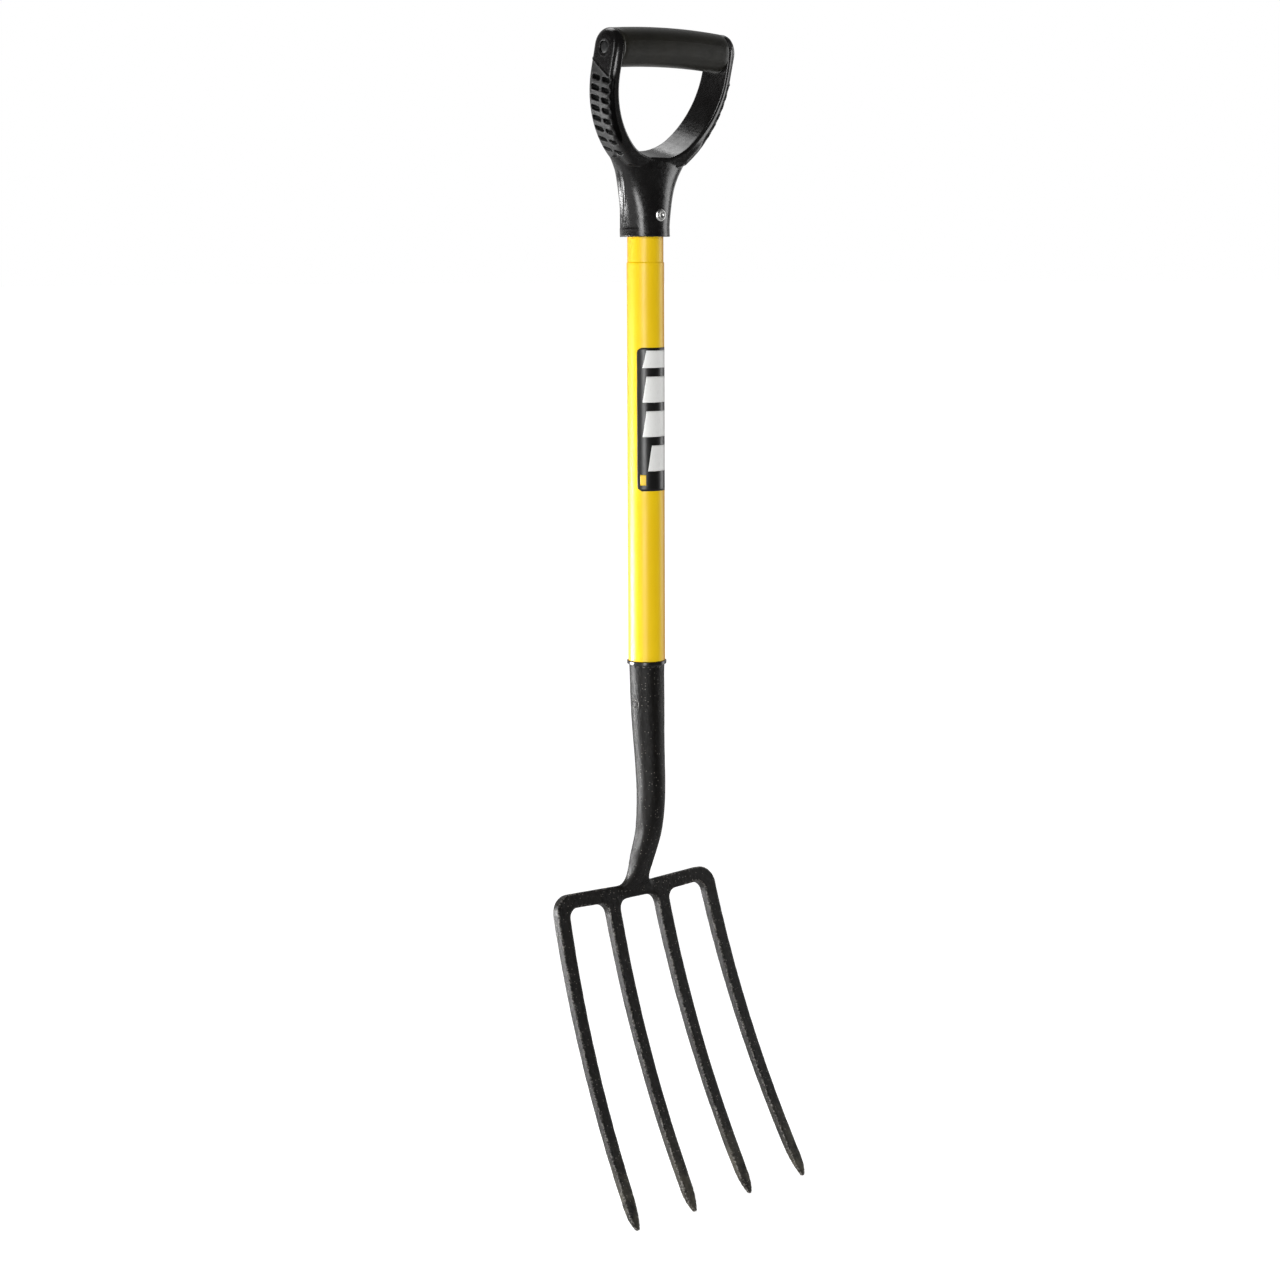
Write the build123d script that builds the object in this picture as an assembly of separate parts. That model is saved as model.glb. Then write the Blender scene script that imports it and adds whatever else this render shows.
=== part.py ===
from build123d import *
import os
from math import asin, cos, degrees, pi, radians, sin

# Digging fork: a forged four-tine head, a sleeved tube shaft and a D handle.
# Millimetres. The origin is on the shaft axis, level with the tips of the tines.
# +Z runs up the shaft, +X runs along the crossbar, and the tines curve forward, to -Y.

# Shaft
SHAFT_DIAMETER = 32.0
CORE_DIAMETER = 25.4
CORE_WALL = 1.6
FIT = 0.05                      # radial gap between parts that are pressed together
OVERCUT = 1.0                   # cutting shapes run this far past the faces they cut

# Blade of the head: its middle line leaves the crossbar leaning forward, then follows an arc
CROSSBAR_SETBACK = 18.2         # centre of the crossbar behind the shaft axis
CROSSBAR_HEIGHT = 255.5         # centre of the crossbar above the tips
CROSSBAR_DEPTH = 13.0           # top edge to arch, along the blade
BLADE_LEAN = 16.0               # degrees from vertical at the crossbar
BLADE_RADIUS = 872.0
BLADE_STRAIGHT = 8.0            # straight run below the crossbar centre
BLADE_THICKNESS = 8.8
TIP_THICKNESS = 6.8

# Tines, as seen from the front
TINE_COUNT = 4
PITCH_AT_CROSSBAR = 55.8
PITCH_AT_TIPS = 63.8
TINE_WIDTH = 13.2
TIP_WIDTH = 10.4
POINT_LENGTH = 25.0             # length of the pointed end, seen from the front
POINT_BEVEL_LENGTH = 32.0       # the same, seen from the side
POINT_WIDTH = 2.4               # blunt end of the point
POINT_BULGE = 0.37              # half width of the point, as a share, at POINT_BULGE_RISE
POINT_BULGE_RISE = 0.42
SHOULDER_RADIUS = 17.0          # outer corners of the crossbar
ARCH_RADIUS = 9.0               # inner corners between tines
TREAD_RISE = 2.0                # degrees by which each half of the crossbar rises outward
BLADE_EDGE = 1.0                # edge radius of the forging
BLADE_BOW = 100.0               # more than the blade curves away from its plane

# Neck and socket: (height, setback, width, depth, squareness of the section)
NECK_SECTIONS = (
    (460.0, 0.0, 30.7, 30.7, 2.0),
    (442.0, -0.4, 30.1, 30.1, 2.0),
    (425.0, -0.9, 29.6, 29.6, 2.0),
    (385.0, -3.0, 27.0, 27.0, 2.0),
    (350.0, -4.9, 25.0, 25.0, 2.1),
    (322.0, -3.3, 22.8, 22.8, 2.4),
    (298.0, 3.0, 20.6, 20.2, 3.0),
    (280.0, 9.6, 19.4, 17.6, 3.2),
    (269.0, 13.4, 22.6, 14.4, 2.8),
    (261.0, 16.4, 35.0, 11.0, 2.3),
    (255.0, 18.3, 64.0, 8.4, 2.0),
)
SOCKET_DEPTH = 75.0
SOCKET_END_SETBACK = -2.9
SOCKET_END_RADIUS = 9.8
SOCKET_RIVET_DROP = 34.0        # socket rivet below the mouth
SOCKET_RIVET_DIAMETER = 6.0

# Collar at the mouth of the socket
COLLAR_DIAMETER = 34.4
COLLAR_HEIGHT = 4.0
COLLAR_EDGE = 1.0

# Handle neck: (height, width, depth)
HANDLE_BOTTOM = 827.0
HANDLE_BORE_DEPTH = 48.0
SHAFT_STEP_DROP = 22.0          # the sleeve narrows this far below the handle
SHAFT_STEP_DIAMETER = 30.8
SHAFT_STEP_LENGTH = 1.0
SHAFT_END_GAP = 1.5             # between the end of the shaft and the bottom of the bore
HANDLE_NECK_SECTIONS = (
    (827.0, 0.0, 42.0, 41.2),
    (843.0, 0.0, 44.0, 40.4),
    (854.0, -0.5, 47.2, 39.6),
    (865.0, -1.2, 52.6, 37.8),
    (877.0, -2.8, 62.0, 35.6),
    (893.0, -5.5, 84.0, 26.0),
)

# Rivet through the handle
HANDLE_RIVET_RISE = 18.0        # above the bottom of the handle
HANDLE_RIVET_SHANK = 6.0
HANDLE_RIVET_HEAD = 10.5
HANDLE_RIVET_CROWN = 8.2        # flat ring on top of the front head
HANDLE_RIVET_HEAD_HEIGHT = 1.8
HANDLE_RIVET_EDGE_HEIGHT = 0.6
HANDLE_RIVET_SEAT = 20.0        # head seats this far from the shaft axis
HANDLE_RIVET_DIMPLE = 4.6
HANDLE_RIVET_DIMPLE_DEPTH = 1.1

# Plugs inside the tube
UPPER_PLUG_REACH = 25.0         # the upper plug starts this far below the rivet
LOWER_PLUG_CLEARANCE = 4.0

# D of the handle, drawn in its own plane, which leans forward over the shaft.
# Points are (to the right, up the D); the left half is the mirror image.
D_LEAN = 15.0
D_PIVOT_HEIGHT = 877.0
D_THICKNESS = 32.0
D_HALF_WIDTH = 66.4
D_OUTER_SIDE = ((D_HALF_WIDTH, 88.0), (59.3, 50.0), (31.5, 12.5))
D_OUTER_BOTTOM = 8.0
GRIP_HALF_LENGTH = 57.0
D_INNER_SIDE = ((GRIP_HALF_LENGTH, 88.0), (50.2, 57.0), (28.0, 27.8))
D_INNER_BOTTOM = 18.8
GRIP_RISE = 106.2               # ends of the grip above the pivot, along the D
ARM_OUTER_EDGE = 6.5
ARM_INNER_EDGE = 2.0

# Grip
GRIP_DIAMETER = 32.2
GRIP_ARCH = 2.4                 # middle of the grip above its ends
GRIP_CORE_DIAMETER = 10.0
GRIP_CORE_RECESS = 0.4

# Slots in the outer faces of the arms, in two columns
SLOT_ROWS = 8
SLOT_PITCH = 8.5
SLOT_HEIGHT = 4.4
SLOT_DEPTH = 1.6
SLOT_CORNER = 2.0
SLOT_COLUMN_GAP = 3.4
SLOT_SHIFT = 2.5                # both columns forward of the middle of the arm
SLOT_LENGTH_TOP = 9.6
SLOT_LENGTH_GROWTH = 0.40       # each lower slot is this much longer
SLOT_TOP_DROP = 25.2            # first row below the ends of the grip

# Label
LABEL_BOTTOM = 612.0
LABEL_HEIGHT = 122.0
LABEL_HALF_ANGLE = 68.0
LABEL_THICKNESS = 0.15
LABEL_CORNER = 4.0

SOCKET_MOUTH = NECK_SECTIONS[0][0]
SLEEVE_BOTTOM = SOCKET_MOUTH + COLLAR_HEIGHT
HANDLE_BORE_TOP = HANDLE_BOTTOM + HANDLE_BORE_DEPTH
SHAFT_TOP = HANDLE_BORE_TOP - SHAFT_END_GAP
CORE_RADIUS = CORE_DIAMETER / 2
RIVET_HEIGHT = HANDLE_BOTTOM + HANDLE_RIVET_RISE
SECTION_POINTS = 24

# The blade lies in a plane through the crossbar centre; the normal points forward and up.
BLADE_PLANE = Plane(
    origin=(0, CROSSBAR_SETBACK, CROSSBAR_HEIGHT),
    x_dir=(1, 0, 0),
    z_dir=(0, -cos(radians(BLADE_LEAN)), sin(radians(BLADE_LEAN))),
)
D_PLANE = Plane(
    origin=(0, 0, D_PIVOT_HEIGHT),
    x_dir=(1, 0, 0),
    z_dir=(0, -cos(radians(D_LEAN)), -sin(radians(D_LEAN))),
)


def blade_length():
    """Length of the blade's middle line from the crossbar centre to the tips."""
    start = sin(radians(BLADE_LEAN))
    drop = CROSSBAR_HEIGHT - BLADE_STRAIGHT * cos(radians(BLADE_LEAN))
    end_angle = asin(start + drop / BLADE_RADIUS)
    return BLADE_STRAIGHT + BLADE_RADIUS * (end_angle - radians(BLADE_LEAN))


def blade_point(distance, offset=0.0):
    """(y, z) at a distance along the blade's middle line, offset to its front."""
    lean = radians(BLADE_LEAN)
    straight = min(distance, BLADE_STRAIGHT)
    y = CROSSBAR_SETBACK - straight * sin(lean)
    z = CROSSBAR_HEIGHT - straight * cos(lean)
    angle = lean + max(distance - BLADE_STRAIGHT, 0) / BLADE_RADIUS
    y -= BLADE_RADIUS * (cos(lean) - cos(angle))
    z -= BLADE_RADIUS * (sin(angle) - sin(lean))
    return (y - offset * cos(angle), z + offset * sin(angle))


def ellipse_section(height, setback, width, depth, squareness=2.0):
    """Flat horizontal section: an ellipse that squares up as squareness grows."""
    points = []
    for step in range(SECTION_POINTS):
        angle = 2 * pi * step / SECTION_POINTS
        reach_x = abs(cos(angle)) ** (2 / squareness) * (1 if cos(angle) >= 0 else -1)
        reach_y = abs(sin(angle)) ** (2 / squareness) * (1 if sin(angle) >= 0 else -1)
        points.append((reach_x * width / 2, setback + reach_y * depth / 2, height))
    return make_face(Spline(*points, periodic=True))


def socket_cone(shrink):
    """The tapered bore of the socket, made smaller all round by shrink."""
    bottom = Plane((0, SOCKET_END_SETBACK, SOCKET_MOUTH - SOCKET_DEPTH))
    top = Plane((0, 0, SOCKET_MOUTH))
    return loft([bottom * Circle(SOCKET_END_RADIUS - shrink), top * Circle(CORE_RADIUS - shrink)])


def blade_reach():
    """Distance from the crossbar centre to the tips, measured down the blade plane."""
    lean = radians(BLADE_LEAN)
    tip_y, tip_z = blade_point(blade_length())
    return (CROSSBAR_SETBACK - tip_y) * sin(lean) + (CROSSBAR_HEIGHT - tip_z) * cos(lean)


def tine_edge(place, side, rise):
    """Point on one side of a tine, at a rise above the crossbar centre in the blade plane."""
    down = -rise / blade_reach()
    pitch = PITCH_AT_CROSSBAR + (PITCH_AT_TIPS - PITCH_AT_CROSSBAR) * down
    width = TINE_WIDTH + (TIP_WIDTH - TINE_WIDTH) * down
    return (place * pitch + side * width / 2, rise)


def tine_point(place, side):
    """Shoulder, bulge and end of one side of a tine's point."""
    reach = blade_reach()
    shoulder = tine_edge(place, side, POINT_LENGTH - reach)
    centre = place * PITCH_AT_TIPS
    bulge = (centre + side * TIP_WIDTH * POINT_BULGE, POINT_LENGTH * POINT_BULGE_RISE - reach)
    return shoulder, bulge, (centre + side * POINT_WIDTH / 2, -reach)


def blade_outline():
    """The crossbar and its tines in the blade plane, with rounded corners and arches."""
    last_place = (TINE_COUNT - 1) / 2
    places = [number - last_place for number in range(TINE_COUNT)]
    slope = sin(radians(TREAD_RISE))
    top = (CROSSBAR_DEPTH - last_place * PITCH_AT_CROSSBAR * slope) / 2
    edges = []
    arches = []
    shoulders = []
    previous = (0, top)
    for place in places:
        arch = top - CROSSBAR_DEPTH + abs(place) * PITCH_AT_CROSSBAR * slope
        left_start = tine_edge(place, -1, arch)
        right_start = tine_edge(place, 1, arch)
        if place == -last_place:
            left_start = tine_edge(place, -1, arch + CROSSBAR_DEPTH)
            shoulders.append(left_start)
        else:
            arches.append(left_start)
        if place == last_place:
            right_start = tine_edge(place, 1, arch + CROSSBAR_DEPTH)
            shoulders.append(right_start)
        else:
            arches.append(right_start)
        left = tine_point(place, -1)
        right = tine_point(place, 1)
        edges += [Line(previous, left_start), Line(left_start, left[0]), ThreePointArc(*left)]
        edges += [Line(left[2], right[2]), ThreePointArc(*reversed(right)), Line(right[0], right_start)]
        previous = right_start
    edges.append(Line(previous, (0, top)))
    outline = make_face(edges)
    for corners, radius in ((arches, ARCH_RADIUS), (shoulders, SHOULDER_RADIUS)):
        chosen = [outline.vertices().sort_by_distance(corner)[0] for corner in corners]
        outline = fillet(chosen, radius)
    return outline


def blade_profile():
    """Side view of the blade: a band along the middle line that ends in a point."""
    length = blade_length()
    point_start = length - POINT_BEVEL_LENGTH

    def edge(side):
        root = blade_point(0, side * BLADE_THICKNESS / 2)
        lean = radians(BLADE_LEAN)
        above = (root[0] + 2 * CROSSBAR_DEPTH * sin(lean), root[1] + 2 * CROSSBAR_DEPTH * cos(lean))
        start = blade_point(BLADE_STRAIGHT, side * BLADE_THICKNESS / 2)
        middle = blade_point(point_start / 2, side * (BLADE_THICKNESS + TIP_THICKNESS) / 4)
        shoulder = blade_point(point_start, side * TIP_THICKNESS / 2)
        bevel = blade_point(
            length - POINT_BEVEL_LENGTH * POINT_BULGE_RISE, side * TIP_THICKNESS * POINT_BULGE
        )
        end = blade_point(length, side * POINT_WIDTH / 2)
        run = Line(above, start) + ThreePointArc(start, middle, shoulder)
        return run + ThreePointArc(shoulder, bevel, end), above, end

    front, front_top, front_end = edge(1)
    back, back_top, back_end = edge(-1)
    outline = front + back + Line(front_top, back_top) + Line(front_end, back_end)
    return Plane.YZ * make_face(outline)


def blade():
    """Crossbar and tines: the front outline cut by the side profile, edges rounded."""
    half_width = PITCH_AT_TIPS * TINE_COUNT / 2
    from_front = extrude(BLADE_PLANE * blade_outline(), BLADE_BOW, both=True)
    from_side = extrude(blade_profile(), half_width, both=True)
    sharp = from_front & from_side
    return fillet(sharp.edges(), BLADE_EDGE)


def neck():
    """Solid socket and neck, which spreads out into the crossbar, before boring."""
    return loft([ellipse_section(*section) for section in NECK_SECTIONS])


def socket_rivet_bar():
    """Round bar across the socket on the line of the socket rivet."""
    height = SOCKET_MOUTH - SOCKET_RIVET_DROP
    setback = SOCKET_END_SETBACK * SOCKET_RIVET_DROP / SOCKET_DEPTH
    across = Plane((0, setback, height), z_dir=(1, 0, 0))
    return across * Cylinder(SOCKET_RIVET_DIAMETER / 2, SHAFT_DIAMETER * 1.5)


def handle_rivet_hole():
    """Round bar across the handle neck that leaves room for the handle rivet."""
    across = Plane((0, 0, RIVET_HEIGHT), z_dir=(0, 1, 0))
    return across * Cylinder(HANDLE_RIVET_SHANK / 2 + FIT, 2 * (HANDLE_RIVET_SEAT + OVERCUT))


def fork_head():
    """The forging: blade, neck and socket in one piece of steel."""
    body = blade() + neck()
    return body - socket_cone(-FIT) - socket_rivet_bar()


def shaft_core():
    """Steel tube with a tapered lower end that fills the socket."""
    tube_height = SHAFT_TOP - SOCKET_MOUTH
    tube = Pos(0, 0, SOCKET_MOUTH) * Cylinder(
        CORE_RADIUS, tube_height, align=(Align.CENTER, Align.CENTER, Align.MIN)
    )
    hollow = Pos(0, 0, SOCKET_MOUTH) * Cylinder(
        CORE_RADIUS - CORE_WALL, tube_height, align=(Align.CENTER, Align.CENTER, Align.MIN)
    )
    taper = socket_cone(0) - socket_cone(CORE_WALL)
    holes = handle_rivet_hole() + socket_rivet_bar()
    return (tube - hollow) + taper - holes


def shaft_sleeve():
    """Yellow outer tube, with a narrower top end that enters the handle."""
    step = HANDLE_BOTTOM - SHAFT_STEP_DROP
    profile = Polygon(
        (CORE_RADIUS + FIT, SLEEVE_BOTTOM), (SHAFT_DIAMETER / 2, SLEEVE_BOTTOM),
        (SHAFT_DIAMETER / 2, step), (SHAFT_STEP_DIAMETER / 2, step + SHAFT_STEP_LENGTH),
        (SHAFT_STEP_DIAMETER / 2, SHAFT_TOP), (CORE_RADIUS + FIT, SHAFT_TOP), align=None,
    )
    return revolve(Plane.XZ * profile, Axis.Z) - handle_rivet_hole()


def socket_collar():
    """Ring that closes the mouth of the socket under the sleeve."""
    width = COLLAR_DIAMETER / 2 - CORE_RADIUS - FIT
    section = Rectangle(width, COLLAR_HEIGHT)
    section = fillet(section.vertices().group_by(Axis.X)[-1], COLLAR_EDGE)
    centre = (CORE_RADIUS + FIT + width / 2, SOCKET_MOUTH + COLLAR_HEIGHT / 2)
    return revolve(Plane.XZ * Pos(*centre) * section, Axis.Z)


def shaft_label():
    """Thin film wrapped round the front of the sleeve, with rounded corners."""
    inner = SHAFT_DIAMETER / 2
    ring = Circle(inner + LABEL_THICKNESS) - Circle(inner)
    film = extrude(Plane((0, 0, LABEL_BOTTOM)) * ring, LABEL_HEIGHT)
    width = 2 * inner * sin(radians(LABEL_HALF_ANGLE))
    window = Plane.XZ * Pos(0, LABEL_BOTTOM + LABEL_HEIGHT / 2) * RectangleRounded(
        width, LABEL_HEIGHT, LABEL_CORNER
    )
    return film & extrude(window, SHAFT_DIAMETER)


def d_boundary(side, top, bottom):
    """Closed face bounded by a side curve and its mirror image, up to top and down to bottom."""
    shoulder = side[0]
    foot = side[-1]
    half = Line((shoulder[0], top), shoulder) + ThreePointArc(*side)
    across = Line((-shoulder[0], top), (shoulder[0], top))
    saddle = ThreePointArc((-foot[0], foot[1]), (0, bottom), foot)
    return make_face(half + mirror(half, Plane.YZ) + across + saddle)


def arm_slots():
    """Grip pockets in the outer faces of both arms, in two columns."""
    pockets = Part()
    arm_curve = ThreePointArc(*D_OUTER_SIDE)
    centre = arm_curve.arc_center
    for row in range(SLOT_ROWS):
        rise = GRIP_RISE - SLOT_TOP_DROP - row * SLOT_PITCH
        angle = asin(min(0, (rise - centre.Y) / arm_curve.radius))
        reach = centre.X + arm_curve.radius * cos(angle)
        length = SLOT_LENGTH_TOP + row * SLOT_LENGTH_GROWTH
        pocket = Box(2 * SLOT_DEPTH, SLOT_HEIGHT, length)
        pocket = Rot(0, 0, degrees(angle)) * fillet(pocket.edges().filter_by(Axis.X), SLOT_CORNER)
        for column in (-1, 1):
            placed = Pos(reach, rise, SLOT_SHIFT + column * (length + SLOT_COLUMN_GAP) / 2) * pocket
            pockets += placed
            pockets += mirror(placed, Plane.YZ)
    return D_PLANE * pockets


def d_ring():
    """The two arms and the saddle between them, in the D plane, with rounded edges."""
    reach = D_THICKNESS / 2
    top = GRIP_RISE + reach
    outline = d_boundary(D_OUTER_SIDE, top, D_OUTER_BOTTOM)
    side_view = Pos(GRIP_RISE, 0) * Circle(reach) + Rectangle(2 * GRIP_RISE, D_THICKNESS)
    slab = extrude(outline, reach, both=True) & extrude(Plane.YZ * side_view, D_HALF_WIDTH, both=True)
    rim = slab.faces().filter_by(Axis.Z).edges().filter_by(Axis.X, reverse=True)
    slab = fillet(rim, ARM_OUTER_EDGE)
    opening = extrude(d_boundary(D_INNER_SIDE, top + OVERCUT, D_INNER_BOTTOM), D_THICKNESS, both=True)
    ring = slab - opening
    opening_rim = new_edges(slab, opening, combined=ring).filter_by(Axis.Z, reverse=True)
    return fillet(opening_rim, ARM_INNER_EDGE)


def rivet_head_seat():
    """Round recess in front of the neck for the head of the handle rivet."""
    forward = Plane((0, -HANDLE_RIVET_SEAT, RIVET_HEIGHT), z_dir=(0, -1, 0))
    return forward * Cylinder(
        HANDLE_RIVET_HEAD / 2 + FIT, HANDLE_RIVET_HEAD_HEIGHT, align=(Align.CENTER, Align.CENTER, Align.MIN)
    )


def d_handle():
    """One moulding: two slotted arms, the saddle between them and the neck."""
    sections = [ellipse_section(*section) for section in HANDLE_NECK_SECTIONS]
    body = D_PLANE * d_ring() + loft(sections)
    bore = Pos(0, 0, HANDLE_BOTTOM) * Cylinder(
        SHAFT_STEP_DIAMETER / 2 + FIT, HANDLE_BORE_DEPTH, align=(Align.CENTER, Align.CENTER, Align.MIN)
    )
    seats = rivet_head_seat() + mirror(rivet_head_seat(), Plane.XZ)
    return body - bore - grip_bar(GRIP_CORE_DIAMETER / 2 + FIT) - seats - handle_rivet_hole() - arm_slots()


def grip_bar(radius):
    """Straight round bar on the axis of the grip, from arm to arm."""
    return D_PLANE * Pos(0, GRIP_RISE) * Rot(0, 90, 0) * Cylinder(radius, 2 * D_HALF_WIDTH)


def grip_tube():
    """Slightly arched tube between the arms, which the hand closes on."""
    half = GRIP_HALF_LENGTH - FIT
    path = ThreePointArc((-half, GRIP_RISE), (0, GRIP_RISE + GRIP_ARCH), (half, GRIP_RISE))
    body = sweep(Plane(path @ 0, z_dir=path % 0) * Circle(GRIP_DIAMETER / 2), path)
    body = body & Pos(0, GRIP_RISE) * Box(2 * half, 2 * GRIP_DIAMETER, 2 * GRIP_DIAMETER)
    return D_PLANE * body - grip_bar(GRIP_CORE_DIAMETER / 2 + FIT)


def grip_core():
    """Rod through both arms and the grip tube, with its ends just below the arms' faces."""
    rod = Cylinder(GRIP_CORE_DIAMETER / 2, 2 * (D_HALF_WIDTH - GRIP_CORE_RECESS))
    return D_PLANE * Pos(0, GRIP_RISE) * Rot(0, 90, 0) * rod


def bowl(rim_radius, rim_height, pole_height):
    """Arc from a rim to the axis whose centre is on the axis, as (radius, height) points."""
    sag = pole_height - rim_height
    sphere = (rim_radius**2 + sag**2) / (2 * sag)
    angle = asin(rim_radius / sphere) / 2
    middle = (sphere * sin(angle), pole_height - sphere * (1 - cos(angle)))
    return ThreePointArc((rim_radius, rim_height), middle, (0, pole_height))


def handle_rivet():
    """Rivet across the neck: a domed head behind, and a dimpled one in front where it was set."""
    shank = HANDLE_RIVET_SHANK / 2
    head = HANDLE_RIVET_HEAD / 2
    dimple = HANDLE_RIVET_DIMPLE / 2
    seat = HANDLE_RIVET_SEAT
    edge = seat + HANDLE_RIVET_EDGE_HEIGHT
    crown = seat + HANDLE_RIVET_HEAD_HEIGHT
    floor = crown - HANDLE_RIVET_DIMPLE_DEPTH
    outline = Line((0, -crown), (0, floor)) + bowl(dimple, crown, floor)
    outline += Polyline(
        (dimple, crown), (HANDLE_RIVET_CROWN / 2, crown), (head, edge), (head, seat), (shank, seat),
        (shank, -seat), (head, -seat), (head, -edge),
    )
    outline += bowl(head, -edge, -crown)
    rivet = revolve(Plane.XZ * make_face(outline), Axis.Z)
    return Pos(0, 0, RIVET_HEIGHT) * Rot(90, 0, 0) * rivet


def plug(bottom, top):
    """Hardwood plug that fills the tube between two heights."""
    filled = Pos(0, 0, SOCKET_MOUTH) * Cylinder(
        CORE_RADIUS - CORE_WALL - FIT, SHAFT_TOP - SOCKET_MOUTH, align=(Align.CENTER, Align.CENTER, Align.MIN)
    )
    filled += socket_cone(CORE_WALL + FIT)
    slab = Pos(0, 0, bottom) * Box(
        SHAFT_DIAMETER, 2 * SHAFT_DIAMETER, top - bottom, align=(Align.CENTER, Align.CENTER, Align.MIN)
    )
    return filled & slab


def upper_plug():
    """Plug that keeps the handle rivet from crushing the tube."""
    return plug(RIVET_HEIGHT - UPPER_PLUG_REACH, SHAFT_TOP) - handle_rivet_hole()


def lower_plug():
    """Plug that keeps the socket rivet from crushing the tapered end of the tube."""
    low = SOCKET_MOUTH - SOCKET_DEPTH + LOWER_PLUG_CLEARANCE
    return plug(low, SOCKET_MOUTH - LOWER_PLUG_CLEARANCE) - socket_rivet_bar()


def socket_rivet():
    """Rivet through socket, tube and plug, ground flush with the socket."""
    return socket_rivet_bar() & neck()


PARTS = (
    fork_head, socket_collar, shaft_core, shaft_sleeve, shaft_label, lower_plug, upper_plug,
    socket_rivet, handle_rivet, d_handle, grip_tube, grip_core,
)

if __name__ == "__main__":
    os.makedirs("parts", exist_ok=True)
    for make in PARTS:
        export_step(make(), f"parts/{make.__name__}.step")
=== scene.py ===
from math import cos, pi, radians, sin, sqrt, tan

import bpy
import numpy as np
from mathutils import Matrix, Vector, noise


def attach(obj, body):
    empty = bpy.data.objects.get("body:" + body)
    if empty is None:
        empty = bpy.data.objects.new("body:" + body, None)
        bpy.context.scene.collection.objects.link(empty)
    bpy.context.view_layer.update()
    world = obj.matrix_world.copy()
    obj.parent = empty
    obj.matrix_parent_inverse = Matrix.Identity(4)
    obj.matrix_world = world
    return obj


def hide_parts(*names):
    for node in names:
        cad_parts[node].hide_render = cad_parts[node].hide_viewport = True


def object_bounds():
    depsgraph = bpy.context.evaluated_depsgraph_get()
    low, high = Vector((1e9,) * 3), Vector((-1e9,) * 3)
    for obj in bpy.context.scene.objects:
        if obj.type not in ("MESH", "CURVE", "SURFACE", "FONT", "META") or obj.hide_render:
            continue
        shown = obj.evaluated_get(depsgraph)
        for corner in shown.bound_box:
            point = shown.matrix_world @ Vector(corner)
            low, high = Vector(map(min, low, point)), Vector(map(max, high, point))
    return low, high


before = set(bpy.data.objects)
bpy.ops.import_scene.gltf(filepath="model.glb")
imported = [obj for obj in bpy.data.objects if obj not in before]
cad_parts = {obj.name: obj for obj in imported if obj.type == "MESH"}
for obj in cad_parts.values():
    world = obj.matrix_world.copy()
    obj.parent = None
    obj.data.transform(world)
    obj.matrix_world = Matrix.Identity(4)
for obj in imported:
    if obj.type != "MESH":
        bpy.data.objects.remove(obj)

# Digging fork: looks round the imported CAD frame. Everything is in the row frame.
# Sizes in this script are in millimetres and are turned into metres by MM.
MM = 0.001
CAD_LOW, CAD_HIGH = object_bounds()

# Camera, as (degrees, millimetres)
CAMERA_AZIMUTH = -39.95
CAMERA_PITCH = 8.29
CAMERA_ROLL = -0.23
CAMERA_PLACE = (-1354.5, -1608.2, 815.4)
CAMERA_LENS = 68.97
CAMERA_SHIFT = -0.025

# Voxels and smoothing of the two big pieces
HEAD_VOXEL = 0.9
HANDLE_VOXEL = 0.65

# Places of the CAD features that the meshes follow
SOCKET_MOUTH = 460.0
SOCKET_BOTTOM = 385.0
BORE_TOP_RADIUS = 12.7
BORE_BOTTOM_RADIUS = 9.8
BORE_BOTTOM_SETBACK = -2.9
NECK_ROOT = (0.0, 18.2, 258.0)
NECK_ROOT_REACH = (30.0, 24.0, 34.0)
PITCH_AT_TIPS = 63.8
PITCH_SLOPE = 0.031             # change of the pitch per millimetre up the tines
POINT_HEIGHT = 21.0
POINT_GROWTH = 0.5              # the points are this much wider at their ends, as a share
INNER_ARM_CENTRE = (-22.4, 89.2)
INNER_ARM_RADIUS = 79.4
OUTER_ARM_CENTRE = (-28.6, 86.1)
OUTER_ARM_RADIUS = 95.0
ARM_OUTER_EDGE = 6.5
D_HALF_THICKNESS = 16.0
D_LEAN = 15.0
D_PIVOT_HEIGHT = 877.0
GRIP_RISE = 106.2
GRIP_HALF_LENGTH = 56.95
GRIP_RADIUS = 16.1
GRIP_ARCH = 2.4
GRIP_CORE_RADIUS = 5.0
GRIP_CORE_HALF_LENGTH = 66.3
SHAFT_TOP = 873.5
SHAFT_RADIUS = 16.0
SHAFT_STEP_RADIUS = 15.4
SHAFT_STEP_HEIGHT = 805.0
CORE_RADIUS = 12.7
FIT = 0.05
COLLAR_RADIUS = 17.2
COLLAR_HEIGHT = 4.0
RIVET_HEIGHT = 845.0
RIVET_SEAT = 20.0
RIVET_HEAD_RADIUS = 5.25
RIVET_SHANK_RADIUS = 3.0
SLOT_ROWS = 8
SLOT_PITCH = 8.5
SLOT_COLUMN_GAP = 3.4
SLOT_SHIFT = 2.5
SLOT_LENGTH_TOP = 9.6
SLOT_LENGTH_GROWTH = 0.40
SLOT_TOP_DROP = 25.2
SLOT_CUT_HEIGHT = 4.9
SLOT_CUT_DEPTH = 2.6
RIDGE_DROP = 17.5               # slanted ridge on each arm, below the grip at mid thickness
RIDGE_SLANT = 0.43
PAD_RADIUS = 7.2                # ring round each end of the grip's rod
SADDLE_RISE = 10.3              # lower edge of the proud band under the D's opening
SADDLE_BOW = 4.0
SADDLE_HALF_WIDTH = 32.0
HANDLE_RIM_HEIGHT = 834.0
LABEL_BOTTOM = 612.0
LABEL_HEIGHT = 122.0
LABEL_HALF_ANGLE = 68.0
LABEL_THICKNESS = 0.15
LABEL_CORNER = 4.0
BLOCK_SLANT = 12.0              # degrees by which the printed blocks lean over their height
BLOCK_END = 46.0
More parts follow.
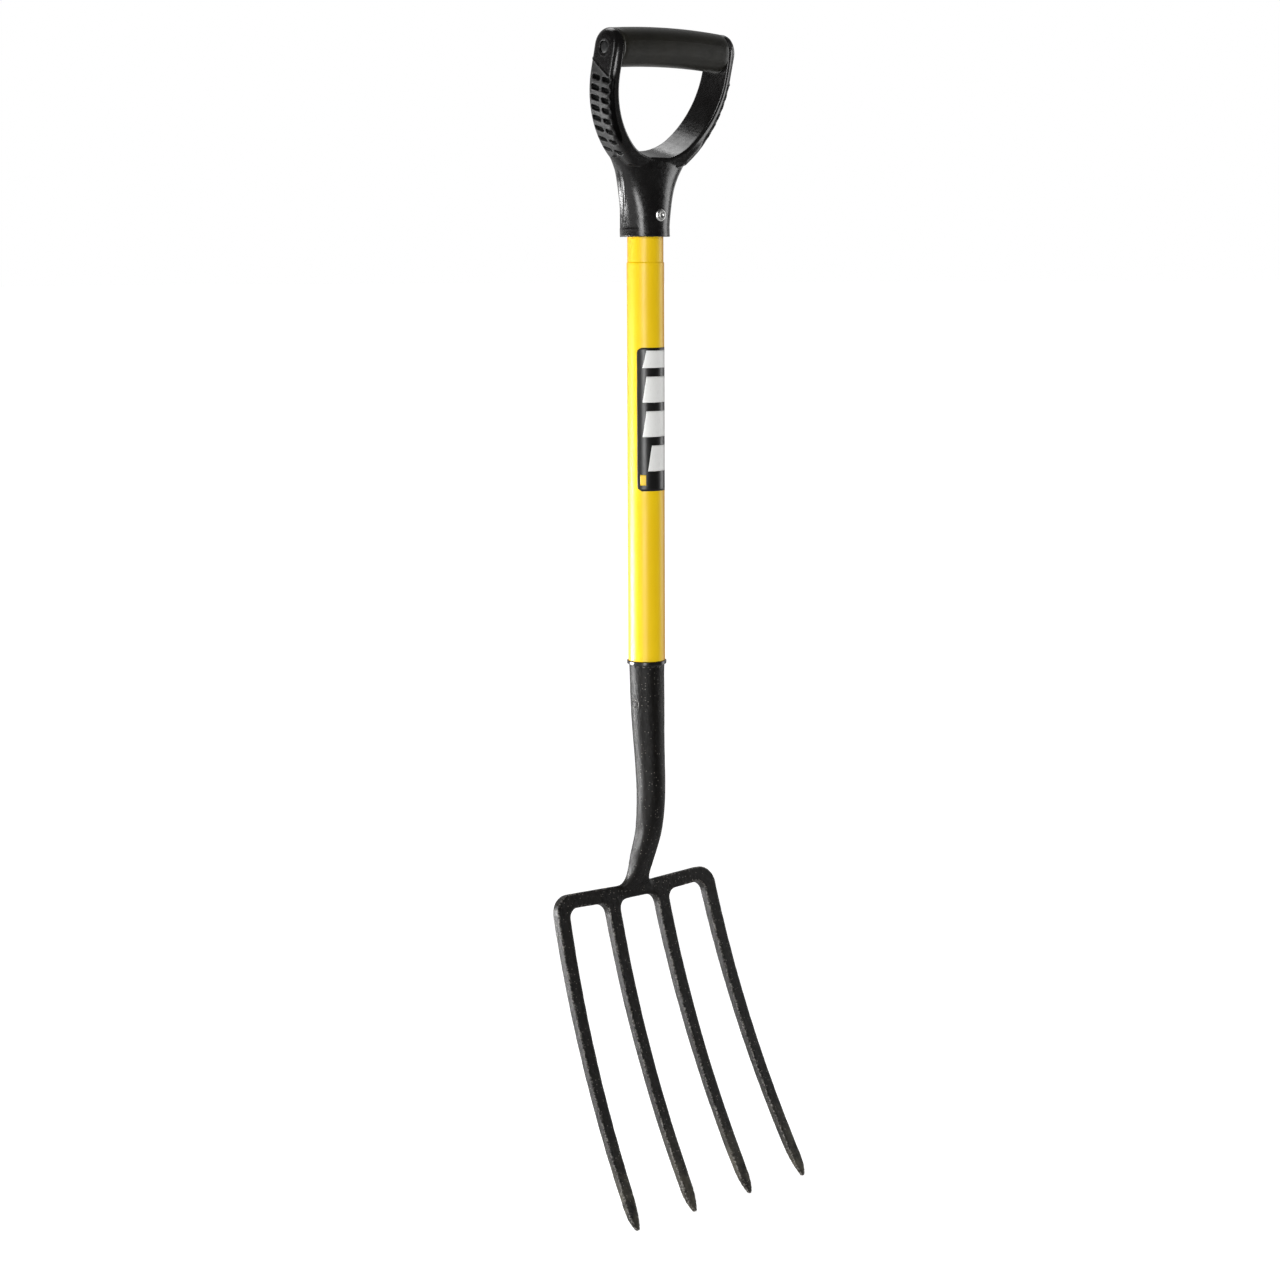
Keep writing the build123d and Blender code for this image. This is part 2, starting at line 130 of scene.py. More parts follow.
PRINT_SINK = 0.02               # prints start this far inside the film
PRINT_THICKNESS = 0.05          # and stand this far out of it

TURN_SEGMENTS = 160
FLOOR_RADIUS = 60.0             # metres
FLOOR_SIDES = 96
FLOOR_GLOW_AZIMUTH = -160.0


# ---------------------------------------------------------------- mesh helpers

def make_piece(name, vertices, faces, material, slot_name, *replaced):
    """New smooth mesh object that rides on the root body; vertices are in millimetres."""
    mesh = bpy.data.meshes.new(name)
    mesh.from_pydata((np.asarray(vertices, float) * MM).tolist(), [], faces)
    mesh.validate()
    return finish_piece(name, mesh, material, slot_name, *replaced)


def finish_piece(name, mesh, material, slot_name, *replaced):
    """Links a finished mesh as a piece of the object."""
    mesh.shade_smooth()
    mesh.materials.clear()
    mesh.materials.append(material)
    piece = bpy.data.objects.new(name, mesh)
    bpy.context.scene.collection.objects.link(piece)
    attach(piece, "root")
    if replaced:
        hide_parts(*replaced)
    return piece


def soften(points, radius, steps=4):
    """Rounds the inner corners of an open (radius, height) outline, with a support point each side."""
    points = [np.array(point, float) for point in points]
    outline = [points[0]]
    for before, corner, after in zip(points, points[1:], points[2:]):
        back = before - corner
        ahead = after - corner
        cut = min(radius, 0.4 * np.linalg.norm(back), 0.4 * np.linalg.norm(ahead))
        back /= np.linalg.norm(back)
        ahead /= np.linalg.norm(ahead)
        outline.append(corner + back * cut * 1.2)
        for step in range(steps + 1):
            t = step / steps
            outline.append(corner + back * cut * (1 - t) ** 2 + ahead * cut * t**2)
        outline.append(corner + ahead * cut * 1.2)
    outline.append(points[-1])
    return outline


def lathe(outline, closed=False, segments=TURN_SEGMENTS):
    """Turns an outline of (radius, height) points about Z; a point on the axis becomes a pole."""
    vertices = []
    rings = []
    for radius, height in outline:
        if radius < 1e-6:
            rings.append([len(vertices)] * segments)
            vertices.append((0.0, 0.0, height))
            continue
        rings.append(list(range(len(vertices), len(vertices) + segments)))
        for step in range(segments):
            angle = 2 * pi * step / segments
            vertices.append((radius * cos(angle), radius * sin(angle), height))
    faces = []
    pairs = list(zip(rings, rings[1:]))
    if closed:
        pairs.append((rings[-1], rings[0]))
    for low, high in pairs:
        for step in range(segments):
            following = (step + 1) % segments
            corners = (low[step], low[following], high[following], high[step])
            face = list(dict.fromkeys(corners))
            if len(face) > 2:
                faces.append(face)
    return np.array(vertices), faces


def moved(vertices, matrix):
    """Vertices moved by a 4x4 matrix."""
    matrix = np.array(matrix)
    return np.asarray(vertices) @ matrix[:3, :3].T + matrix[:3, 3]


def mesh_arrays(mesh):
    """Vertex positions in millimetres, vertex normals, and edges as arrays."""
    count = len(mesh.vertices)
    place = np.empty(count * 3)
    normal = np.empty(count * 3)
    edges = np.empty(len(mesh.edges) * 2, int)
    mesh.vertices.foreach_get("co", place)
    mesh.vertices.foreach_get("normal", normal)
    mesh.edges.foreach_get("vertices", edges)
    return place.reshape(-1, 3) / MM, normal.reshape(-1, 3), edges.reshape(-1, 2)


def write_places(mesh, place):
    """Puts vertex positions in millimetres back into a mesh."""
    mesh.vertices.foreach_set("co", (place * MM).ravel())
    mesh.update()


def relax(place, edges, strength, weight=1.0):
    """One step of smoothing: each vertex moves part of the way to the mean of its neighbours."""
    count = len(place)
    total = np.zeros_like(place)
    for axis in range(3):
        total[:, axis] += np.bincount(edges[:, 0], place[edges[:, 1], axis], count)
        total[:, axis] += np.bincount(edges[:, 1], place[edges[:, 0], axis], count)
    degree = np.bincount(edges.ravel(), minlength=count)[:, None]
    return place + strength * weight * (total / degree - place)


def smooth_keeping_size(place, edges, rounds):
    """Smooths without shrinking, by turns inward and outward."""
    for _ in range(rounds):
        place = relax(place, edges, 0.5)
        place = relax(place, edges, -0.52)
    return place


def voxel_copy(node, size):
    """Copy of a CAD node's mesh, remeshed in even voxels of a size in millimetres."""
    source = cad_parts[node]
    shell = bpy.data.objects.new(node + "_shell", source.data.copy())
    bpy.context.scene.collection.objects.link(shell)
    remesh = shell.modifiers.new("voxels", "REMESH")
    remesh.mode = "VOXEL"
    remesh.voxel_size = size * MM
    graph = bpy.context.evaluated_depsgraph_get()
    mesh = bpy.data.meshes.new_from_object(shell.evaluated_get(graph))
    bpy.data.objects.remove(shell)
    return mesh


def voxel_size(size):
    """Voxel size, as given."""
    return size


def smoothstep(low, high, value):
    """0 below low, 1 above high, and a smooth change between; low may be above high."""
    t = np.clip((value - low) / (high - low), 0, 1)
    return t * t * (3 - 2 * t)


def bump_line(distance, half_width):
    """1 on a line, falling smoothly to 0 at half_width from it."""
    return smoothstep(half_width, 0, np.abs(distance))


def edge_field(place, normal, edges, size):
    """How sharply the surface bends outward at each vertex, from 0 to 1, for wear."""
    bulge = relax(place, edges, 1.0) - place
    bend = -(bulge * normal).sum(1) / size
    return smoothstep(0.03, 0.13, bend)


def set_field(mesh, name, values):
    """Stores one number per vertex for a material to read."""
    field = mesh.attributes.new(name, "FLOAT", "POINT")
    field.data.foreach_set("value", np.asarray(values, np.float32))


def cut(mesh, cutter):
    """Mesh with another closed mesh cut out of it."""
    holder = bpy.data.objects.new("holder", mesh)
    tool = bpy.data.objects.new("tool", cutter)
    for item in (holder, tool):
        bpy.context.scene.collection.objects.link(item)
    knife = holder.modifiers.new("knife", "BOOLEAN")
    knife.operation = "DIFFERENCE"
    knife.solver = "MANIFOLD"
    knife.object = tool
    graph = bpy.context.evaluated_depsgraph_get()
    result = bpy.data.meshes.new_from_object(holder.evaluated_get(graph))
    for item in (holder, tool):
        bpy.data.objects.remove(item)
    return result


def noise_field(place, size, seed=0.0):
    """Smooth noise between about -1 and 1 at each vertex, with features of a size in millimetres."""
    shift = Vector((seed, seed * 0.7, -seed))
    return np.array([noise.noise(Vector(point) / size + shift) for point in place.tolist()])


# ---------------------------------------------------------------- node helpers

def add(tree, kind, settings=None, **inputs):
    """Adds a node; inputs are values or sockets to link, with _ for a space in a name."""
    node = tree.nodes.new(kind)
    for key, value in (settings or {}).items():
        setattr(node, key, value)
    for key, value in inputs.items():
        socket = node.inputs[key.replace("_", " ")]
        connect(tree, value, socket)
    return node


def connect(tree, value, socket):
    """Links a socket to an input, or sets the input's value."""
    if isinstance(value, bpy.types.NodeSocket):
        tree.links.new(value, socket)
    else:
        socket.default_value = value


def maths(tree, operation, first, second=0.0):
    """Result of a sum on one or two numbers."""
    node = tree.nodes.new("ShaderNodeMath")
    node.operation = operation
    connect(tree, first, node.inputs[0])
    connect(tree, second, node.inputs[1])
    return node.outputs[0]


def blend_colors(tree, share, first, second):
    """Colour between two colours."""
    node = tree.nodes.new("ShaderNodeMix")
    node.data_type = "RGBA"
    connect(tree, share, node.inputs[0])
    connect(tree, first, node.inputs[6])
    connect(tree, second, node.inputs[7])
    return node.outputs[2]


def remap(tree, value, low, high, new_low=0.0, new_high=1.0):
    """Moves a number smoothly from one range to another."""
    node = add(
        tree, "ShaderNodeMapRange", {"interpolation_type": "SMOOTHSTEP"},
        Value=value, From_Min=low, From_Max=high, To_Min=new_low, To_Max=new_high,
    )
    return node.outputs["Result"]


def noise_node(tree, place, scale, detail=3.0, roughness=0.55, distortion=0.0):
    """Procedural noise; scale is in features per metre."""
    node = add(
        tree, "ShaderNodeTexNoise", Vector=place, Scale=scale, Detail=detail,
        Roughness=roughness, Distortion=distortion,
    )
    return node.outputs["Fac"]


def stretched(tree, place, scale):
    """Coordinates scaled by a different amount on each axis."""
    return add(tree, "ShaderNodeMapping", Vector=place, Scale=scale).outputs["Vector"]


def bump(tree, height, distance, strength=1.0, below=None):
    """Bump from a height; distance is in millimetres."""
    node = add(tree, "ShaderNodeBump", Height=height, Distance=distance * MM, Strength=strength)
    if below is not None:
        tree.links.new(below, node.inputs["Normal"])
    return node.outputs["Normal"]


def new_material(name):
    """Material with an empty tree, its principled shader and the object coordinates."""
    material = bpy.data.materials.new(name)
    material.use_nodes = True
    tree = material.node_tree
    tree.nodes.clear()
    shader = tree.nodes.new("ShaderNodeBsdfPrincipled")
    output = tree.nodes.new("ShaderNodeOutputMaterial")
    tree.links.new(shader.outputs[0], output.inputs[0])
    place = tree.nodes.new("ShaderNodeTexCoord").outputs["Object"]
    return material, tree, shader, place


def set_shader(tree, shader, **inputs):
    """Sets or links the principled shader's inputs, with _ for a space in a name."""
    for key, value in inputs.items():
        connect(tree, value, shader.inputs[key.replace("_", " ")])


def field_node(tree, name):
    """Number stored on the mesh by set_field; 0 where a mesh has none."""
    return add(tree, "ShaderNodeAttribute", {"attribute_name": name}).outputs["Fac"]


def grey(value):
    """Neutral colour."""
    return (value, value, value, 1)


# ---------------------------------------------------------------- materials

def coated_steel():
    """Black powder coat over a forging: pebbly, with painted glints in small specks, worn edges and scoured
    tips.
    """
    material, tree, shader, place = new_material("coated_steel")
    height = add(tree, "ShaderNodeSeparateXYZ", Vector=place).outputs["Z"]
    patches = noise_node(tree, place, 70.0, 3.0)
    pebbles = noise_node(tree, place, 560.0, 3.0, 0.6)
    grit = noise_node(tree, place, 1900.0, 2.0, 0.6)
    streaks = noise_node(tree, stretched(tree, place, (1.0, 1.0, 0.30)), 420.0, 3.0, 0.65)
    cells = add(tree, "ShaderNodeTexVoronoi", Vector=place, Scale=560.0)
    cell_pick = add(tree, "ShaderNodeSeparateColor", Color=cells.outputs["Color"]).outputs["Red"]
    dot = remap(tree, cells.outputs["Distance"], 0.34, 0.16)
    # Painted glint: one cell in five holds a small dot, coloured light below to stand for the coat's
    # sparkle.
    painted_glint = maths(tree, "MULTIPLY", dot, remap(tree, cell_pick, 0.78, 0.84))
    wear = maths(tree, "MULTIPLY", field_node(tree, "edge"), remap(tree, pebbles, 0.44, 0.60))
    tip = maths(tree, "MULTIPLY", remap(tree, height, 0.085, 0.0), remap(tree, patches, 0.30, 0.70))
    streak = maths(tree, "MULTIPLY", remap(tree, streaks, 0.48, 0.70), 0.5)
    coat = ((0.0024, 0.0019, 0.0015, 1), (0.0048, 0.0039, 0.0030, 1))
    color = blend_colors(tree, remap(tree, patches, 0.35, 0.70), *coat)
    color = blend_colors(tree, streak, color, grey(0.014))
    color = blend_colors(tree, maths(tree, "MULTIPLY", tip, 0.8), color, (0.075, 0.068, 0.050, 1))
    color = blend_colors(tree, maths(tree, "MULTIPLY", wear, 0.55), color, (0.30, 0.285, 0.265, 1))
    # Painted glint: the specks are mixed towards a light colour to stand for sparkle; their lower roughness
    # is real.
    color = blend_colors(tree, maths(tree, "MULTIPLY", painted_glint, 0.45), color, (0.30, 0.28, 0.25, 1))
    roughness = remap(tree, pebbles, 0.30, 0.70, 0.58, 0.34)
    roughness = maths(tree, "SUBTRACT", roughness, maths(tree, "MULTIPLY", painted_glint, 0.2))
    relief = bump(tree, pebbles, 0.32)
    relief = bump(tree, streaks, 0.25, below=relief)
    relief = bump(tree, grit, 0.06, below=relief)
    set_shader(
        tree, shader, Base_Color=color, Roughness=roughness, Normal=relief, Specular_IOR_Level=0.22,
        Metallic=maths(tree, "MULTIPLY", wear, 0.25),
    )
    return material


def moulded_plastic(name, color, light_color, roughness, grain, specular=0.5):
    """Black moulded plastic: fine grain, flow marks, scuffs, rubbed edges, a rougher grip field and painted
    shade in the grip slots.
    """
    material, tree, shader, place = new_material(name)
    field = field_node(tree, "grip_field")
    flow = noise_node(tree, place, 45.0, 2.0)
    fine = noise_node(tree, place, 1500.0, 3.0, 0.6)
    mottle = noise_node(tree, place, 330.0, 3.0, 0.6)
    leather = noise_node(tree, place, 620.0, 4.0, 0.7)
    scuffs = noise_node(tree, stretched(tree, place, (1.0, 1.0, 0.15)), 700.0, 4.0, 0.7)
    rub = maths(tree, "MULTIPLY", field_node(tree, "edge"), remap(tree, mottle, 0.40, 0.62))
    base = blend_colors(tree, remap(tree, flow, 0.3, 0.7), color, light_color)
    base = blend_colors(tree, maths(tree, "MULTIPLY", rub, 0.12), base, grey(0.09))
    worn = maths(tree, "MULTIPLY", field, remap(tree, leather, 0.35, 0.65, 0.2, 0.6))
    base = blend_colors(tree, worn, base, grey(0.018))
    shine = remap(tree, mottle, 0.30, 0.70, roughness - 0.05, roughness + 0.07)
    shine = maths(tree, "ADD", shine, remap(tree, scuffs, 0.62, 0.78, 0.0, 0.14))
    shine = maths(tree, "ADD", shine, maths(tree, "MULTIPLY", field, 0.22))
    relief = bump(tree, flow, 0.5, 0.6)
    relief = bump(tree, mottle, 0.05, below=relief)
    relief = bump(tree, fine, grain, below=relief)
    relief = bump(tree, leather, 0.30, field, below=relief)
    # Painted shade: the grip slots' walls and floors are darkened almost to black and lose most of their
    # reflection, standing in for the shade inside them.
    pocket_shade = field_node(tree, "pocket_shade")
    base = blend_colors(tree, maths(tree, "MULTIPLY", pocket_shade, 0.9), base, grey(0.001))
    open_share = maths(tree, "SUBTRACT", 1.0, maths(tree, "MULTIPLY", pocket_shade, 0.9))
    level = maths(tree, "MULTIPLY", open_share, specular)
    set_shader(tree, shader, Base_Color=base, Roughness=shine, Normal=relief, Specular_IOR_Level=level)
    return material


def yellow_sleeve():
    """Yellow coated tube with painted shade that makes it slightly orange at grazing angles, and faint
    lengthwise draw lines and scuffs.
    """
    material, tree, shader, place = new_material("yellow_sleeve")
    facing = add(tree, "ShaderNodeLayerWeight", Blend=0.45).outputs["Facing"]
    lines = noise_node(tree, stretched(tree, place, (1.0, 1.0, 0.02)), 900.0, 2.0)
    clouds = noise_node(tree, place, 28.0, 2.0)
    orange_peel = noise_node(tree, place, 800.0, 2.0)
    scuffs = noise_node(tree, stretched(tree, place, (1.0, 1.0, 0.12)), 420.0, 5.0, 0.75)
    # Painted shade: the colour turns deeper orange towards the silhouettes, where the tube turns away from
    # the camera.
    paint_and_edge_shade = ((0.95, 0.63, 0.006, 1), (0.95, 0.40, 0.003, 1))
    color = blend_colors(tree, remap(tree, facing, 0.25, 0.95), *paint_and_edge_shade)
    color = blend_colors(tree, remap(tree, clouds, 0.35, 0.65, 0.0, 0.25), color, (0.88, 0.52, 0.005, 1))
    color = blend_colors(tree, remap(tree, scuffs, 0.70, 0.80, 0.0, 0.35), color, (0.70, 0.42, 0.02, 1))
    roughness = remap(tree, scuffs, 0.45, 0.80, 0.34, 0.58)
    relief = bump(tree, lines, 0.04)
    relief = bump(tree, orange_peel, 0.03, below=relief)
    set_shader(tree, shader, Base_Color=color, Roughness=roughness, Normal=relief, Specular_IOR_Level=0.4)
    return material


def printed_film(name, color, roughness):
    """Vinyl film or print: smooth, with slight waves and fine rub marks."""
    material, tree, shader, place = new_material(name)
    waves = noise_node(tree, place, 120.0, 2.0)
    rubs = noise_node(tree, stretched(tree, place, (1.0, 1.0, 0.2)), 900.0, 4.0, 0.7)
    faded = tuple(channel * 0.82 + 0.004 for channel in color[:3]) + (1,)
    base = blend_colors(tree, remap(tree, rubs, 0.52, 0.72, 0.0, 0.6), color, faded)
    shine = remap(tree, rubs, 0.45, 0.75, roughness, roughness + 0.16)
    set_shader(tree, shader, Base_Color=base, Roughness=shine, Normal=bump(tree, waves, 0.08))
    return material


def turned_metal(name, color, roughness, axis_scale):
    """Bright metal with fine turning or draw marks along one axis, and darker dents."""
    material, tree, shader, place = new_material(name)
    marks = noise_node(tree, stretched(tree, place, axis_scale), 1600.0, 3.0, 0.6)
    stains = noise_node(tree, place, 380.0, 3.0, 0.6)
    darker = tuple(channel * 0.5 for channel in color[:3]) + (1,)
    base = blend_colors(tree, remap(tree, stains, 0.45, 0.75), color, darker)
    shine = remap(tree, marks, 0.3, 0.7, roughness - 0.06, roughness + 0.12)
    relief = bump(tree, marks, 0.03)
    set_shader(tree, shader, Base_Color=base, Roughness=shine, Normal=relief, Metallic=1.0)
    return material


def plug_wood():
    """Pale hardwood with rings and pores along the shaft."""
    material, tree, shader, place = new_material("plug_wood")
    along = stretched(tree, place, (1.0, 1.0, 0.06))
    rings = add(
        tree, "ShaderNodeTexWave", {"wave_type": "RINGS", "rings_direction": "Z"},
        Vector=along, Scale=180.0, Distortion=3.0, Detail=3.0,
    ).outputs["Fac"]
    pores = noise_node(tree, along, 2400.0, 3.0, 0.7)
    color = blend_colors(tree, rings, (0.42, 0.26, 0.13, 1), (0.60, 0.42, 0.24, 1))
    color = blend_colors(tree, remap(tree, pores, 0.60, 0.75), color, (0.20, 0.11, 0.05, 1))
    set_shader(tree, shader, Base_Color=color, Roughness=0.7, Normal=bump(tree, pores, 0.1))
    return material


# ---------------------------------------------------------------- pieces

def bore_share(place):
    """1 for vertices on the wall of the socket's bore, 0 elsewhere."""
    depth = np.clip((SOCKET_MOUTH - place[:, 2]) / (SOCKET_MOUTH - SOCKET_BOTTOM), 0, 1)
    bore = BORE_TOP_RADIUS + (BORE_BOTTOM_RADIUS - BORE_TOP_RADIUS) * depth
    away = np.hypot(place[:, 0], place[:, 1] - BORE_BOTTOM_SETBACK * depth)
    inside = (away < bore + 0.7) & (place[:, 2] > SOCKET_BOTTOM - 1)
    return inside.astype(float)


def fuller_points(place):
    """Widens the tines' points, so that they end as round as a worn forging does."""
    height = place[:, 2]
    low = height < POINT_HEIGHT
    pitch = PITCH_AT_TIPS - PITCH_SLOPE * height
    number = np.clip(np.floor(place[:, 0] / pitch), -2, 1) + 0.5
    centre = number * pitch
    growth = 1 + POINT_GROWTH * np.clip(1 - height / POINT_HEIGHT, 0, 1) ** 1.2
    place[:, 0] = np.where(low, centre + (place[:, 0] - centre) * growth, place[:, 0])
    return place


def fork_head(material):
    """The forging, with its edges eased, the neck blended into the crossbar and hammered faces."""
    mesh = voxel_copy("fork_head", voxel_size(HEAD_VOXEL))
    place, _, edges = mesh_arrays(mesh)
    place = smooth_keeping_size(place, edges, 4)
    reach = np.linalg.norm((place - np.array(NECK_ROOT)) / NECK_ROOT_REACH, axis=1)
    near = smoothstep(1.0, 0.0, reach)
    for _ in range(60):
        place = relax(place, edges, 0.5, near[:, None])
    place = fuller_points(place)
    write_places(mesh, place)
    place, normal, _ = mesh_arrays(mesh)
    free = 1 - bore_share(place)
    swell = 0.07 * noise_field(place, 11.0) + 0.06 * noise_field(place, 3.6, 3.0)
    set_field(mesh, "edge", edge_field(place, normal, edges, voxel_size(HEAD_VOXEL)) * free)
    place += normal * (swell * free)[:, None]
    place[:, 0] = np.clip(place[:, 0], CAD_LOW[0] / MM, CAD_HIGH[0] / MM)
    write_places(mesh, place)
    return finish_piece("fork_head_forging", mesh, material, "head_coating", "fork_head")


def d_matrix():
    """Matrix from (right, up the D, forward) in the leaning D to the row frame."""
    return Matrix.Translation((0, 0, D_PIVOT_HEIGHT)) @ Matrix.Rotation(radians(90 + D_LEAN), 4, "X")


def d_coordinates(place):
    """Right, up-the-D and forward coordinates of points in the leaning D."""
    right, rise, forward = moved(place, d_matrix().inverted()).T
    return right, rise, forward


def slot_cutter(place):
    """Closed mesh of all the grip slots, set square to the arms' outer faces."""
    right, rise, forward = d_coordinates(place)

    def reach(height):
        near = (np.abs(rise - height) < 0.8) & (np.abs(forward) < 8)
        return right[near].max()

    vertices = []
    faces = []
    for row in range(SLOT_ROWS):
        height = GRIP_RISE - SLOT_TOP_DROP - row * SLOT_PITCH
        slope = (reach(height + 3) - reach(height - 3)) / 6
        outward = np.array((1.0, -slope)) / sqrt(1 + slope**2)
        along = np.array((-outward[1], outward[0]))
        centre = np.array((reach(height), height))
        length = SLOT_LENGTH_TOP + row * SLOT_LENGTH_GROWTH
        for column in (-1, 1):
            middle = SLOT_SHIFT + column * (length + SLOT_COLUMN_GAP) / 2
            for side in (-1, 1):
                rings = []
                for depth in (-SLOT_CUT_DEPTH, SLOT_CUT_DEPTH):
                    ring = []
                    for up, ahead in stadium(length + 0.6, SLOT_CUT_HEIGHT):
                        point = centre + outward * depth + along * up
                        ring.append((side * point[0], point[1], middle + ahead))
                    rings.append(ring)
                add_prism(vertices, faces, rings, side < 0)
    return moved(vertices, d_matrix()), faces


def stadium(length, width, steps=6):
    """Points round a slot shape, as (across, along)."""
    radius = width / 2
    points = []
    for end in (1, -1):
        for step in range(steps + 1):
            angle = pi * step / steps
            points.append((end * radius * cos(angle), end * (length / 2 - radius + radius * sin(angle))))
    return points


def add_prism(vertices, faces, rings, flipped):
    """Adds a closed prism between two rings of points."""
    start = len(vertices)
    count = len(rings[0])
    vertices += rings[0] + rings[1]
    made = [list(range(start, start + count)), list(range(start + 2 * count - 1, start + count - 1, -1))]
    for step in range(count):
        after = (step + 1) % count
        made.append([start + after, start + step, start + count + step, start + count + after])
    faces += [face[::-1] for face in made] if flipped else made


def above_ridge(rise, forward):
    """Distance up the D from the slanted ridge on each arm."""
    return rise - (GRIP_RISE - RIDGE_DROP) + RIDGE_SLANT * forward


def grip_field(right, rise, forward, normal):
    """1 on the textured outer faces of the arms below the slanted ridge, 0 elsewhere."""
    below_ridge = smoothstep(1.0, -1.0, above_ridge(rise, forward))
    outer_face = smoothstep(0.55, 0.8, np.sign(right) * normal[:, 0])
    outer_face *= smoothstep(14.5, 12.5, np.abs(forward))
    return below_ridge * outer_face * smoothstep(2, 8, rise)


def pocket_shade_field(right, rise, forward):
    """1 on the walls and floors of the grip slots, where shade is painted, 0 elsewhere."""
    away = np.hypot(np.abs(right) - OUTER_ARM_CENTRE[0], rise - OUTER_ARM_CENTRE[1])
    over = np.clip(np.abs(forward) - D_HALF_THICKNESS + ARM_OUTER_EDGE, 0, ARM_OUTER_EDGE)
    depth = OUTER_ARM_RADIUS - away - ARM_OUTER_EDGE + np.sqrt(ARM_OUTER_EDGE**2 - over**2)
    rows = smoothstep(14, 17, rise) * smoothstep(90, 85, rise)
    return smoothstep(0.8, 1.6, depth) * smoothstep(4.0, 3.4, depth) * rows * (np.abs(forward) < 15)


def saddle_band(place):
    """Brings the front of the saddle forward to a flat band that stands proud of the neck."""
    right, rise, forward = d_coordinates(place)
    low = SADDLE_RISE + SADDLE_BOW * (right / SADDLE_HALF_WIDTH) ** 2
    share = smoothstep(SADDLE_HALF_WIDTH + 2, SADDLE_HALF_WIDTH - 8, np.abs(right))
    share *= smoothstep(low - 0.4, low + 0.4, rise) * smoothstep(17.5, 14.0, rise)
    gap = np.clip(D_HALF_THICKNESS - 0.3 - forward, 0, None) * (forward > 4)
    lean = radians(D_LEAN)
    place[:, 1] -= gap * share * cos(lean)
    place[:, 2] -= gap * share * sin(lean)
    return place


def arm_relief(place, normal):
    """Slanted ridge, ring round the rod's end, and the slope of the arms' front faces."""
    right, rise, forward = d_coordinates(place)
    outward = np.sign(right) * normal[:, 0]
    outer_face = smoothstep(0.45, 0.85, outward) * smoothstep(52, 58, np.abs(right))
    height = 0.55 * bump_line(above_ridge(rise, forward), 1.3) * outer_face
    pad = np.hypot(rise - GRIP_RISE, forward)
    height += 0.16 * bump_line(pad - PAD_RADIUS, 0.9) * outer_face
    lean = radians(D_LEAN)
    facing = -normal[:, 1] * cos(lean) - normal[:, 2] * sin(lean)
    away = np.hypot(np.abs(right) - INNER_ARM_CENTRE[0], rise - INNER_ARM_CENTRE[1]) - INNER_ARM_RADIUS
    slope = smoothstep(0, 9, away) * smoothstep(0.3, 0.8, facing) * smoothstep(24, 40, rise)
    return height - 1.5 * slope


def neck_relief(place, normal):
    """Parting rib on each side of the neck, with a groove and a bead beside it, and the rim at its foot."""
    outward = np.sign(place[:, 0]) * normal[:, 0]
    side = smoothstep(887, 878, place[:, 2]) * smoothstep(0.2, 0.6, outward)
    side *= smoothstep(12.0, 16.0, np.abs(place[:, 0]))
    above_rim = smoothstep(HANDLE_RIM_HEIGHT, HANDLE_RIM_HEIGHT + 2, place[:, 2])
    parting = (D_PIVOT_HEIGHT - place[:, 2]) * tan(radians(D_LEAN))
    across = np.abs(place[:, 1] - parting)
    height = 0.50 * bump_line(across, 1.3) * side
    height -= 0.55 * bump_line(across - 4.0, 2.4) * side * above_rim
    height += 0.25 * bump_line(across - 7.4, 1.2) * side * above_rim
    outside = smoothstep(0.1, 0.5, (normal[:, 0] * place[:, 0] + normal[:, 1] * place[:, 1]) / 20)
    rim = smoothstep(HANDLE_RIM_HEIGHT + 0.5, HANDLE_RIM_HEIGHT - 0.5, place[:, 2])
    return height + 0.18 * rim * outside


def d_handle(material):
    """The moulded handle with eased edges, side ribs, a rim at its foot and a ridge on each arm."""
    mesh = voxel_copy("d_handle", voxel_size(HANDLE_VOXEL))
    place, _, edges = mesh_arrays(mesh)
    place = saddle_band(smooth_keeping_size(place, edges, 3))
    place = smooth_keeping_size(place, edges, 2)
    write_places(mesh, place)
    place, normal, _ = mesh_arrays(mesh)
    relief = arm_relief(place, normal) + neck_relief(place, normal)
    place += normal * relief[:, None]
    write_places(mesh, place)
    cutter = bpy.data.meshes.new("slots")
    cutter_places, cutter_faces = slot_cutter(place)
    cutter.from_pydata((cutter_places * MM).tolist(), [], cutter_faces)
    mesh = cut(mesh, cutter)
    place, normal, edges = mesh_arrays(mesh)
    right, rise, forward = d_coordinates(place)
    set_field(mesh, "edge", edge_field(place, normal, edges, voxel_size(HANDLE_VOXEL)))
    set_field(mesh, "grip_field", grip_field(right, rise, forward, normal))
    # Mask of the painted shade in the grip slots.
    set_field(mesh, "pocket_shade", pocket_shade_field(right, rise, forward))
    return finish_piece("d_handle_moulding", mesh, material, "handle_black", "d_handle")


def grip_frame():
    """Matrix that puts a piece turned about Z on the axis of the grip."""
    lean = radians(D_LEAN)
    centre = Vector((0, -GRIP_RISE * sin(lean), D_PIVOT_HEIGHT + GRIP_RISE * cos(lean)))
    return Matrix.Translation(centre) @ Matrix.Rotation(-lean, 4, "X") @ Matrix.Rotation(pi / 2, 4, "Y")


def grip_outline():
    """Wall of the grip tube with eased rims, as a closed outline."""
    steps = 32
    bore = GRIP_CORE_RADIUS + FIT
    side = [(GRIP_RADIUS - 1.2, GRIP_HALF_LENGTH), (GRIP_RADIUS - 0.35, GRIP_HALF_LENGTH - 0.35)]
    end = [(bore, GRIP_HALF_LENGTH - 0.4), (bore + 0.4, GRIP_HALF_LENGTH)] + side
    outline = [(radius, -along) for radius, along in end]
    for step in range(steps + 1):
        outline.append((GRIP_RADIUS, (2 * step / steps - 1) * (GRIP_HALF_LENGTH - 1.2)))
    return outline + end[::-1]


